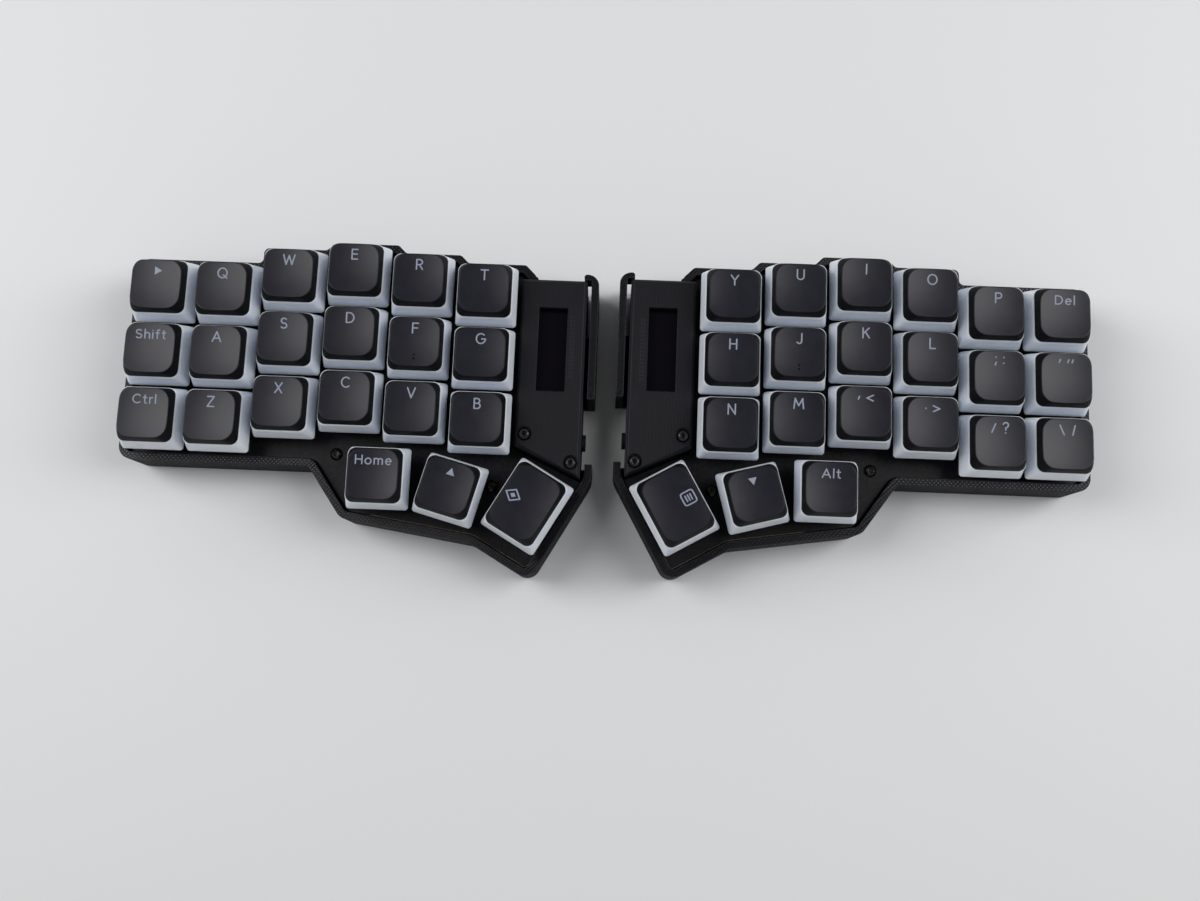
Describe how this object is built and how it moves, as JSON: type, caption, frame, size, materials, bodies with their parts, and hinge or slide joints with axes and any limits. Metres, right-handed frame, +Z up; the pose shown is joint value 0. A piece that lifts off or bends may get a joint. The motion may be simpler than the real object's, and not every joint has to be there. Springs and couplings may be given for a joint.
{
  "type": "split keyboard",
  "caption": "Ergonomic split keyboard: two black printed halves with column-staggered two-tone keys, thumb keys and small screens under a cover",
  "frame": {"origin": "middle of the whole keyboard's footprint, on the desk under the feet", "axes": "+X to the typist's right, +Y away from the typist, +Z up"},
  "size_m": [0.2864, 0.0992, 0.0299],
  "materials": {
    "printed_case": "printed in layers",
    "printed_cover": "printed in lines",
    "plate": "black board, satin",
    "board": "black board",
    "housing": "moulded",
    "keycap_crown": "fine matte top, smoother sides",
    "keycap_skirt": "milky, lets light through",
    "legend": "milky inlay, level with the top",
    "display_glass": "polished, dark",
    "screw_black": "blackened steel",
    "foot_rubber": "matte"
  },
  "bodies": {
    "left_half": {"left_case": "printed_case", "left_switch_plate": "plate", "left_circuit_board": "board", "left_switch_housings": "housing", "left_screen_cover": "printed_cover", "left_display": "display_glass", "left_controller": "board", "left_fasteners": "screw_black", "left_feet": "foot_rubber"},
    "right_half": {"right_case": "printed_case", "right_switch_plate": "plate", "right_circuit_board": "board", "right_switch_housings": "housing", "right_screen_cover": "printed_cover", "right_display": "display_glass", "right_controller": "board", "right_fasteners": "screw_black", "right_feet": "foot_rubber"},
    "key_arrow_right": {"key_arrow_right": "keycap_crown"},
    "key_q": {"key_q": "keycap_crown"},
    "key_w": {"key_w": "keycap_crown"},
    "key_e": {"key_e": "keycap_crown"},
    "key_r": {"key_r": "keycap_crown"},
    "key_t": {"key_t": "keycap_crown"},
    "key_shift": {"key_shift": "keycap_crown"},
    "key_a": {"key_a": "keycap_crown"},
    "key_s": {"key_s": "keycap_crown"},
    "key_d": {"key_d": "keycap_crown"},
    "key_f": {"key_f": "keycap_crown"},
    "key_g": {"key_g": "keycap_crown"},
    "key_ctrl": {"key_ctrl": "keycap_crown"},
    "key_z": {"key_z": "keycap_crown"},
    "key_x": {"key_x": "keycap_crown"},
    "key_c": {"key_c": "keycap_crown"},
    "key_v": {"key_v": "keycap_crown"},
    "key_b": {"key_b": "keycap_crown"},
    "key_home": {"key_home": "keycap_crown"},
    "key_arrow_up": {"key_arrow_up": "keycap_crown"},
    "key_super": {"key_super": "keycap_crown"},
    "key_del": {"key_del": "keycap_crown"},
    "key_p": {"key_p": "keycap_crown"},
    "key_o": {"key_o": "keycap_crown"},
    "key_i": {"key_i": "keycap_crown"},
    "key_u": {"key_u": "keycap_crown"},
    "key_y": {"key_y": "keycap_crown"},
    "key_quote": {"key_quote": "keycap_crown"},
    "key_semicolon": {"key_semicolon": "keycap_crown"},
    "key_l": {"key_l": "keycap_crown"},
    "key_k": {"key_k": "keycap_crown"},
    "key_j": {"key_j": "keycap_crown"},
    "key_h": {"key_h": "keycap_crown"},
    "key_backslash": {"key_backslash": "keycap_crown"},
    "key_slash": {"key_slash": "keycap_crown"},
    "key_period": {"key_period": "keycap_crown"},
    "key_comma": {"key_comma": "keycap_crown"},
    "key_m": {"key_m": "keycap_crown"},
    "key_n": {"key_n": "keycap_crown"},
    "key_alt": {"key_alt": "keycap_crown"},
    "key_arrow_down": {"key_arrow_down": "keycap_crown"},
    "key_menu": {"key_menu": "keycap_crown"}
  },
  "joints": [
    {"name": "halves_spread", "type": "slide", "parent": "left_half", "child": "right_half", "axis": [1, 0, 0], "range_m": [0, 0.25]},
    {"name": "key_arrow_right_press", "type": "slide", "parent": "left_half", "child": "key_arrow_right", "axis": [0, 0, -1], "range_m": [0, 0.004], "stiffness_N_per_m": 60, "springref_m": -0.005},
    {"name": "key_q_press", "type": "slide", "parent": "left_half", "child": "key_q", "axis": [0, 0, -1], "range_m": [0, 0.004], "stiffness_N_per_m": 60, "springref_m": -0.005},
    {"name": "key_w_press", "type": "slide", "parent": "left_half", "child": "key_w", "axis": [0, 0, -1], "range_m": [0, 0.004], "stiffness_N_per_m": 60, "springref_m": -0.005},
    {"name": "key_e_press", "type": "slide", "parent": "left_half", "child": "key_e", "axis": [0, 0, -1], "range_m": [0, 0.004], "stiffness_N_per_m": 60, "springref_m": -0.005},
    {"name": "key_r_press", "type": "slide", "parent": "left_half", "child": "key_r", "axis": [0, 0, -1], "range_m": [0, 0.004], "stiffness_N_per_m": 60, "springref_m": -0.005},
    {"name": "key_t_press", "type": "slide", "parent": "left_half", "child": "key_t", "axis": [0, 0, -1], "range_m": [0, 0.004], "stiffness_N_per_m": 60, "springref_m": -0.005},
    {"name": "key_shift_press", "type": "slide", "parent": "left_half", "child": "key_shift", "axis": [0, 0, -1], "range_m": [0, 0.004], "stiffness_N_per_m": 60, "springref_m": -0.005},
    {"name": "key_a_press", "type": "slide", "parent": "left_half", "child": "key_a", "axis": [0, 0, -1], "range_m": [0, 0.004], "stiffness_N_per_m": 60, "springref_m": -0.005},
    {"name": "key_s_press", "type": "slide", "parent": "left_half", "child": "key_s", "axis": [0, 0, -1], "range_m": [0, 0.004], "stiffness_N_per_m": 60, "springref_m": -0.005},
    {"name": "key_d_press", "type": "slide", "parent": "left_half", "child": "key_d", "axis": [0, 0, -1], "range_m": [0, 0.004], "stiffness_N_per_m": 60, "springref_m": -0.005},
    {"name": "key_f_press", "type": "slide", "parent": "left_half", "child": "key_f", "axis": [0, 0, -1], "range_m": [0, 0.004], "stiffness_N_per_m": 60, "springref_m": -0.005},
    {"name": "key_g_press", "type": "slide", "parent": "left_half", "child": "key_g", "axis": [0, 0, -1], "range_m": [0, 0.004], "stiffness_N_per_m": 60, "springref_m": -0.005},
    {"name": "key_ctrl_press", "type": "slide", "parent": "left_half", "child": "key_ctrl", "axis": [0, 0, -1], "range_m": [0, 0.004], "stiffness_N_per_m": 60, "springref_m": -0.005},
    {"name": "key_z_press", "type": "slide", "parent": "left_half", "child": "key_z", "axis": [0, 0, -1], "range_m": [0, 0.004], "stiffness_N_per_m": 60, "springref_m": -0.005},
    {"name": "key_x_press", "type": "slide", "parent": "left_half", "child": "key_x", "axis": [0, 0, -1], "range_m": [0, 0.004], "stiffness_N_per_m": 60, "springref_m": -0.005},
    {"name": "key_c_press", "type": "slide", "parent": "left_half", "child": "key_c", "axis": [0, 0, -1], "range_m": [0, 0.004], "stiffness_N_per_m": 60, "springref_m": -0.005},
    {"name": "key_v_press", "type": "slide", "parent": "left_half", "child": "key_v", "axis": [0, 0, -1], "range_m": [0, 0.004], "stiffness_N_per_m": 60, "springref_m": -0.005},
    {"name": "key_b_press", "type": "slide", "parent": "left_half", "child": "key_b", "axis": [0, 0, -1], "range_m": [0, 0.004], "stiffness_N_per_m": 60, "springref_m": -0.005},
    {"name": "key_home_press", "type": "slide", "parent": "left_half", "child": "key_home", "axis": [0, 0, -1], "range_m": [0, 0.004], "stiffness_N_per_m": 60, "springref_m": -0.005},
    {"name": "key_arrow_up_press", "type": "slide", "parent": "left_half", "child": "key_arrow_up", "axis": [0, 0, -1], "range_m": [0, 0.004], "stiffness_N_per_m": 60, "springref_m": -0.005},
    {"name": "key_super_press", "type": "slide", "parent": "left_half", "child": "key_super", "axis": [0, 0, -1], "range_m": [0, 0.004], "stiffness_N_per_m": 60, "springref_m": -0.005},
    {"name": "key_del_press", "type": "slide", "parent": "right_half", "child": "key_del", "axis": [0, 0, -1], "range_m": [0, 0.004], "stiffness_N_per_m": 60, "springref_m": -0.005},
    {"name": "key_p_press", "type": "slide", "parent": "right_half", "child": "key_p", "axis": [0, 0, -1], "range_m": [0, 0.004], "stiffness_N_per_m": 60, "springref_m": -0.005},
    {"name": "key_o_press", "type": "slide", "parent": "right_half", "child": "key_o", "axis": [0, 0, -1], "range_m": [0, 0.004], "stiffness_N_per_m": 60, "springref_m": -0.005},
    {"name": "key_i_press", "type": "slide", "parent": "right_half", "child": "key_i", "axis": [0, 0, -1], "range_m": [0, 0.004], "stiffness_N_per_m": 60, "springref_m": -0.005},
    {"name": "key_u_press", "type": "slide", "parent": "right_half", "child": "key_u", "axis": [0, 0, -1], "range_m": [0, 0.004], "stiffness_N_per_m": 60, "springref_m": -0.005},
    {"name": "key_y_press", "type": "slide", "parent": "right_half", "child": "key_y", "axis": [0, 0, -1], "range_m": [0, 0.004], "stiffness_N_per_m": 60, "springref_m": -0.005},
    {"name": "key_quote_press", "type": "slide", "parent": "right_half", "child": "key_quote", "axis": [0, 0, -1], "range_m": [0, 0.004], "stiffness_N_per_m": 60, "springref_m": -0.005},
    {"name": "key_semicolon_press", "type": "slide", "parent": "right_half", "child": "key_semicolon", "axis": [0, 0, -1], "range_m": [0, 0.004], "stiffness_N_per_m": 60, "springref_m": -0.005},
    {"name": "key_l_press", "type": "slide", "parent": "right_half", "child": "key_l", "axis": [0, 0, -1], "range_m": [0, 0.004], "stiffness_N_per_m": 60, "springref_m": -0.005},
    {"name": "key_k_press", "type": "slide", "parent": "right_half", "child": "key_k", "axis": [0, 0, -1], "range_m": [0, 0.004], "stiffness_N_per_m": 60, "springref_m": -0.005},
    {"name": "key_j_press", "type": "slide", "parent": "right_half", "child": "key_j", "axis": [0, 0, -1], "range_m": [0, 0.004], "stiffness_N_per_m": 60, "springref_m": -0.005},
    {"name": "key_h_press", "type": "slide", "parent": "right_half", "child": "key_h", "axis": [0, 0, -1], "range_m": [0, 0.004], "stiffness_N_per_m": 60, "springref_m": -0.005},
    {"name": "key_backslash_press", "type": "slide", "parent": "right_half", "child": "key_backslash", "axis": [0, 0, -1], "range_m": [0, 0.004], "stiffness_N_per_m": 60, "springref_m": -0.005},
    {"name": "key_slash_press", "type": "slide", "parent": "right_half", "child": "key_slash", "axis": [0, 0, -1], "range_m": [0, 0.004], "stiffness_N_per_m": 60, "springref_m": -0.005},
    {"name": "key_period_press", "type": "slide", "parent": "right_half", "child": "key_period", "axis": [0, 0, -1], "range_m": [0, 0.004], "stiffness_N_per_m": 60, "springref_m": -0.005},
    {"name": "key_comma_press", "type": "slide", "parent": "right_half", "child": "key_comma", "axis": [0, 0, -1], "range_m": [0, 0.004], "stiffness_N_per_m": 60, "springref_m": -0.005},
    {"name": "key_m_press", "type": "slide", "parent": "right_half", "child": "key_m", "axis": [0, 0, -1], "range_m": [0, 0.004], "stiffness_N_per_m": 60, "springref_m": -0.005},
    {"name": "key_n_press", "type": "slide", "parent": "right_half", "child": "key_n", "axis": [0, 0, -1], "range_m": [0, 0.004], "stiffness_N_per_m": 60, "springref_m": -0.005},
    {"name": "key_alt_press", "type": "slide", "parent": "right_half", "child": "key_alt", "axis": [0, 0, -1], "range_m": [0, 0.004], "stiffness_N_per_m": 60, "springref_m": -0.005},
    {"name": "key_arrow_down_press", "type": "slide", "parent": "right_half", "child": "key_arrow_down", "axis": [0, 0, -1], "range_m": [0, 0.004], "stiffness_N_per_m": 60, "springref_m": -0.005},
    {"name": "key_menu_press", "type": "slide", "parent": "right_half", "child": "key_menu", "axis": [0, 0, -1], "range_m": [0, 0.004], "stiffness_N_per_m": 60, "springref_m": -0.005}
  ]
}
